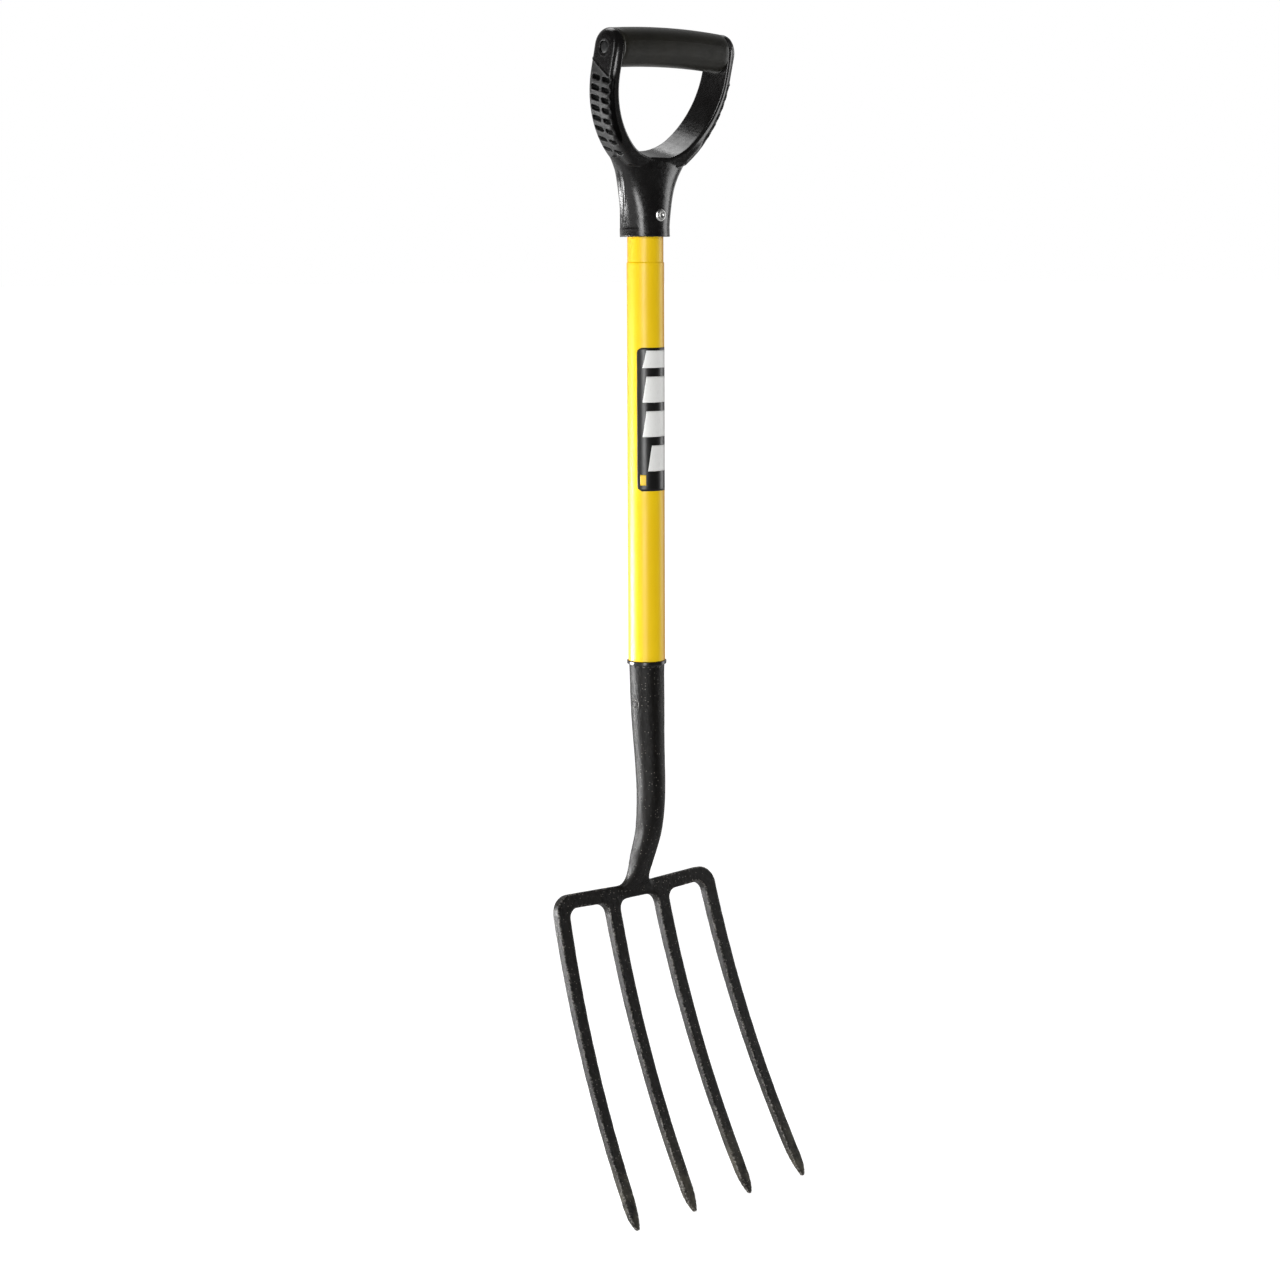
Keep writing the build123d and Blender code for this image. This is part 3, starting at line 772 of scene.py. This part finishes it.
def grip_tube(material):
    """Slightly arched grip with a fine parting line along its front and its back."""
    vertices, faces = lathe(grip_outline(), closed=True, segments=256)
    radius = np.hypot(vertices[:, 0], vertices[:, 1])
    outside = radius > GRIP_CORE_RADIUS + 5
    parting = 0.12 * bump_line(vertices[:, 0], 0.5) * outside
    vertices[:, :2] *= (1 + parting / radius)[:, None]
    place = moved(vertices, grip_frame())
    arch = GRIP_ARCH * (1 - (place[:, 0] / GRIP_HALF_LENGTH) ** 2) * outside
    place[:, 1] -= arch * sin(radians(D_LEAN))
    place[:, 2] += arch * cos(radians(D_LEAN))
    return make_piece("grip_tube_moulding", place, faces, material, "grip_black", "grip_tube")


def grip_core(material):
    """Rod through the grip with slightly domed, chamfered ends."""
    end = GRIP_CORE_HALF_LENGTH
    outline = [(0, -end), (3.4, -end + 0.12), (4.5, -end + 0.35), (GRIP_CORE_RADIUS, -end + 0.9)]
    outline += [(radius, -height) for radius, height in reversed(outline)]
    vertices, faces = lathe(outline, segments=64)
    place = moved(vertices, grip_frame())
    return make_piece("grip_core_rod", place, faces, material, "core_black", "grip_core")


def shaft_sleeve(material):
    """Sleeve with eased ends and the narrower top that enters the handle."""
    bottom = SOCKET_MOUTH + COLLAR_HEIGHT
    inner = CORE_RADIUS + FIT
    middle = (inner + SHAFT_RADIUS) / 2
    corners = [
        (middle, bottom), (SHAFT_RADIUS, bottom), (SHAFT_RADIUS, SHAFT_STEP_HEIGHT),
        (SHAFT_STEP_RADIUS, SHAFT_STEP_HEIGHT + 1), (SHAFT_STEP_RADIUS, SHAFT_TOP), (inner, SHAFT_TOP),
        (inner, bottom), (middle, bottom),
    ]
    vertices, faces = lathe(soften(corners, 0.4)[:-1], closed=True)
    return make_piece("shaft_sleeve_tube", vertices, faces, material, "sleeve_yellow", "shaft_sleeve")


def socket_collar(material):
    """Collar ring with a full rounded rim over a thin foot."""
    inner = CORE_RADIUS + FIT
    foot = SOCKET_MOUTH
    top = SOCKET_MOUTH + COLLAR_HEIGHT
    corners = [
        (15.0, foot), (15.9, foot), (15.9, foot + 0.5), (COLLAR_RADIUS, foot + 0.8),
        (COLLAR_RADIUS, top - 0.3), (16.3, top), (inner, top), (inner, foot), (15.0, foot),
    ]
    vertices, faces = lathe(soften(corners, 0.7)[:-1], closed=True)
    return make_piece("socket_collar_ring", vertices, faces, material, "collar_black", "socket_collar")


def handle_rivet(material):
    """Rivet across the neck: domed behind, and dimpled in front where it was set."""
    crown = RIVET_SEAT + 1.8
    head = RIVET_HEAD_RADIUS
    corners = [
        (0, -crown), (2.6, -crown + 0.30), (4.3, -crown + 0.75),
        (head, -RIVET_SEAT - 0.5), (head, -RIVET_SEAT), (RIVET_SHANK_RADIUS, -RIVET_SEAT),
        (RIVET_SHANK_RADIUS, RIVET_SEAT), (head, RIVET_SEAT), (head, RIVET_SEAT + 0.6),
        (4.1, crown), (2.4, crown), (1.9, crown - 0.7), (1.2, crown - 1.0), (0, crown - 1.1),
    ]
    vertices, faces = lathe(soften(corners, 0.35, 3), segments=96)
    place = moved(vertices, Matrix.Translation((0, 0, RIVET_HEIGHT)) @ Matrix.Rotation(pi / 2, 4, "X"))
    return make_piece("handle_rivet_set", place, faces, material, "rivet_metal", "handle_rivet")


def wrapped_patch(inside, outside, left, right, low, high, columns=48, rows=24, corner=0.0):
    """Closed thin patch wrapped on the shaft; left and right give its edge angles at a share of height."""
    vertices = []
    for radius in (inside, outside):
        for row in range(rows + 1):
            share = row / rows
            height = low + (high - low) * share
            for column in range(columns + 1):
                angle = left(share) + (right(share) - left(share)) * column / columns
                turn = radians(corner_tuck(angle, height, left(share), right(share), low, high, corner))
                vertices.append((radius * sin(turn), -radius * cos(turn), height))
    return np.array(vertices), patch_faces(columns, rows)


def corner_tuck(angle, height, left, right, low, high, corner):
    """Angle pulled in near the patch's corners so that they are round."""
    if corner <= 0:
        return angle
    near = min(height - low, high - height)
    if near >= corner:
        return angle
    pull = (corner - sqrt(corner**2 - (corner - near) ** 2)) / SHAFT_RADIUS * 180 / pi
    middle = (left + right) / 2
    half = (right - left) / 2
    return middle + (angle - middle) * (half - pull) / half


def patch_faces(columns, rows):
    """Quads of a patch's two skins and its rim."""
    wide = columns + 1
    layer = wide * (rows + 1)
    faces = []
    for row in range(rows):
        for column in range(columns):
            first = row * wide + column
            quad = (first, first + 1, first + wide + 1, first + wide)
            faces.append(tuple(index + layer for index in quad))
            faces.append(tuple(reversed(quad)))
    rim = [column for column in range(columns)]
    rim += [row * wide + columns for row in range(rows)]
    rim += [rows * wide + column for column in range(columns, 0, -1)]
    rim += [row * wide for row in range(rows, 0, -1)]
    for first, second in zip(rim, rim[1:] + rim[:1]):
        faces.append((first, second, second + layer, first + layer))
    return faces


def shaft_label(film, white, yellow):
    """Black film with plain slanted white blocks and one small yellow square."""
    skin = SHAFT_RADIUS + LABEL_THICKNESS
    print_skins = (skin - PRINT_SINK, skin + PRINT_THICKNESS)
    vertices, faces = wrapped_patch(
        SHAFT_RADIUS, skin, lambda share: -LABEL_HALF_ANGLE, lambda share: LABEL_HALF_ANGLE,
        LABEL_BOTTOM, LABEL_BOTTOM + LABEL_HEIGHT, columns=72, rows=60, corner=LABEL_CORNER,
    )
    make_piece("shaft_label_film", vertices, faces, film, "label_film", "shaft_label")
    blocks = ((0.86, 0.98, -50), (0.62, 0.80, -50), (0.38, 0.56, -50), (0.14, 0.32, -34))
    for number, (low, high, start) in enumerate(blocks, 1):
        vertices, faces = wrapped_patch(
            *print_skins,
            lambda share, start=start: start + BLOCK_SLANT * share,
            lambda share: BLOCK_END + BLOCK_SLANT * share,
            LABEL_BOTTOM + LABEL_HEIGHT * low, LABEL_BOTTOM + LABEL_HEIGHT * high, columns=40, rows=12,
        )
        make_piece(f"label_block_{number}", vertices, faces, white, "label_film")
    vertices, faces = wrapped_patch(
        *print_skins, lambda share: -58, lambda share: -40,
        LABEL_BOTTOM + 5, LABEL_BOTTOM + 14, columns=12, rows=8,
    )
    make_piece("label_square", vertices, faces, yellow, "label_film")


def dress_node(node, material):
    """Gives a CAD node that stays in view its material."""
    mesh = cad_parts[node].data
    mesh.materials.clear()
    mesh.materials.append(material)


# ---------------------------------------------------------------- stage

def floor():
    """Pale floor that runs out into the white surroundings and is brighter behind the fork."""
    turns = [2 * pi * step / FLOOR_SIDES for step in range(FLOOR_SIDES)]
    rim = [(FLOOR_RADIUS * cos(turn), FLOOR_RADIUS * sin(turn), 0) for turn in turns]
    mesh = bpy.data.meshes.new("floor")
    mesh.from_pydata(rim, [], [list(range(FLOOR_SIDES))])
    material, tree, shader, place = new_material("pale_floor")
    clouds = noise_node(tree, place, 3.0, 2.0)
    seen = tree.nodes.new("ShaderNodeLightPath").outputs["Is Camera Ray"]
    pale = blend_colors(tree, clouds, grey(0.86), grey(0.90))
    color = blend_colors(tree, seen, grey(0.16), pale)
    away = add(tree, "ShaderNodeVectorMath", {"operation": "LENGTH"}, Vector=place).outputs["Value"]
    seen_glow = remap(tree, away, 0.5, 3.0, 0.60, 1.0)
    behind = facing_share(tree, place, FLOOR_GLOW_AZIMUTH)
    lit_glow = remap(tree, behind, -1.0, 0.5, 0.05, 0.75)
    glow = maths(tree, "ADD", maths(tree, "MULTIPLY", seen, seen_glow),
                 maths(tree, "MULTIPLY", maths(tree, "SUBTRACT", 1.0, seen), lit_glow))
    set_shader(
        tree, shader, Base_Color=color, Roughness=0.9, Specular_IOR_Level=0.1,
        Emission_Color=grey(1.0), Emission_Strength=glow,
    )
    mesh.materials.append(material)
    ground = bpy.data.objects.new("floor", mesh)
    bpy.context.scene.collection.objects.link(ground)


def facing_share(tree, direction, azimuth):
    """How far a vector points to an azimuth."""
    along = tree.nodes.new("ShaderNodeVectorMath")
    along.operation = "DOT_PRODUCT"
    angle = radians(azimuth)
    connect(tree, direction, along.inputs[0])
    connect(tree, (sin(angle), -cos(angle), 0.0), along.inputs[1])
    return along.outputs["Value"]


def softbox(name, azimuth, elevation, distance, width, height, power, target=(0, 0, 0.5), spread=180):
    """Rectangular light that faces the fork from an azimuth and elevation, spreading by some degrees."""
    light = bpy.data.lights.new(name, "AREA")
    light.shape = "RECTANGLE"
    light.size = width
    light.size_y = height
    light.energy = power
    light.spread = radians(spread)
    lamp = bpy.data.objects.new(name, light)
    a = radians(azimuth)
    e = radians(elevation)
    back = Vector((sin(a) * cos(e), -cos(a) * cos(e), sin(e)))
    lamp.location = Vector(target) + back * distance
    lamp.rotation_mode = "QUATERNION"
    lamp.rotation_quaternion = (-back).to_track_quat("-Z", "Y")
    bpy.context.scene.collection.objects.link(lamp)


def studio_light():
    """White surroundings behind the fork, dim ones in front, a tall key light and side lights."""
    world = bpy.data.worlds.new("studio")
    world.use_nodes = True
    tree = world.node_tree
    direction = tree.nodes.new("ShaderNodeTexCoord").outputs["Generated"]
    behind = facing_share(tree, direction, CAMERA_AZIMUTH + 180)
    strength = remap(tree, behind, 0.10, 0.90, 0.03, 0.50)
    seen = tree.nodes.new("ShaderNodeLightPath").outputs["Is Camera Ray"]
    strength = maths(tree, "MAXIMUM", strength, seen)
    background = tree.nodes["Background"]
    connect(tree, grey(1.0), background.inputs["Color"])
    connect(tree, strength, background.inputs["Strength"])
    bpy.context.scene.world = world
    softbox("side_light", CAMERA_AZIMUTH - 98, 0, 1.7, 0.9, 0.6, 12, (0, 0, 0.12), 60)
    softbox("key_light", CAMERA_AZIMUTH - 11, 6, 2.2, 0.7, 1.9, 42)
    softbox("rim_light", CAMERA_AZIMUTH + 112, 6, 1.8, 0.8, 1.6, 14)
    softbox("top_light", CAMERA_AZIMUTH - 150, 66, 2.2, 1.2, 1.0, 14)


def camera():
    """Camera at the viewing angle of the reference."""
    data = bpy.data.cameras.new("camera")
    data.sensor_width = 36.0
    data.lens = CAMERA_LENS
    data.shift_y = CAMERA_SHIFT
    data.clip_end = 100.0
    view = bpy.data.objects.new("camera", data)
    a = radians(CAMERA_AZIMUTH)
    e = radians(CAMERA_PITCH)
    back = Vector((sin(a) * cos(e), -cos(a) * cos(e), sin(e)))
    right = Vector((cos(a), sin(a), 0))
    up = back.cross(right)
    turn = radians(CAMERA_ROLL)
    tilted_right = right * cos(turn) + up * sin(turn)
    tilted_up = up * cos(turn) - right * sin(turn)
    axes = Matrix((tilted_right, tilted_up, back)).transposed().to_4x4()
    view.matrix_world = Matrix.Translation(Vector(CAMERA_PLACE) * MM) @ axes
    bpy.context.scene.collection.objects.link(view)
    bpy.context.scene.camera = view


# ---------------------------------------------------------------- build

coating = coated_steel()
glossy_black = moulded_plastic(
    "glossy_black_plastic", (0.0048, 0.0042, 0.0042, 1), (0.008, 0.0075, 0.0075, 1),
    roughness=0.24, grain=0.012,
)
satin_black = moulded_plastic(
    "satin_black_plastic", (0.009, 0.0085, 0.006, 1), (0.014, 0.013, 0.009, 1),
    roughness=0.42, grain=0.03,
)
core_black = moulded_plastic("core_black_plastic", grey(0.007), grey(0.012), roughness=0.40, grain=0.02)
collar_black = moulded_plastic("collar_black_plastic", grey(0.005), grey(0.008), roughness=0.20, grain=0.01)
rivet_metal = turned_metal("rivet_aluminium", (0.82, 0.82, 0.80, 1), 0.30, (1.0, 0.2, 1.0))
tube_metal = turned_metal("tube_steel", (0.55, 0.55, 0.56, 1), 0.34, (1.0, 1.0, 0.03))
wood = plug_wood()

fork_head(coating)
d_handle(glossy_black)
grip_tube(satin_black)
grip_core(core_black)
shaft_sleeve(yellow_sleeve())
socket_collar(collar_black)
handle_rivet(rivet_metal)
shaft_label(
    printed_film("label_black", (0.006, 0.006, 0.006, 1), 0.30),
    printed_film("label_white", (0.88, 0.88, 0.86, 1), 0.40),
    printed_film("label_yellow", (0.92, 0.60, 0.01, 1), 0.40),
)
dress_node("shaft_core", tube_metal)
dress_node("lower_plug", wood)
dress_node("upper_plug", wood)
dress_node("socket_rivet", coating)

floor()
studio_light()
camera()
bpy.context.scene.view_settings.view_transform = "Standard"
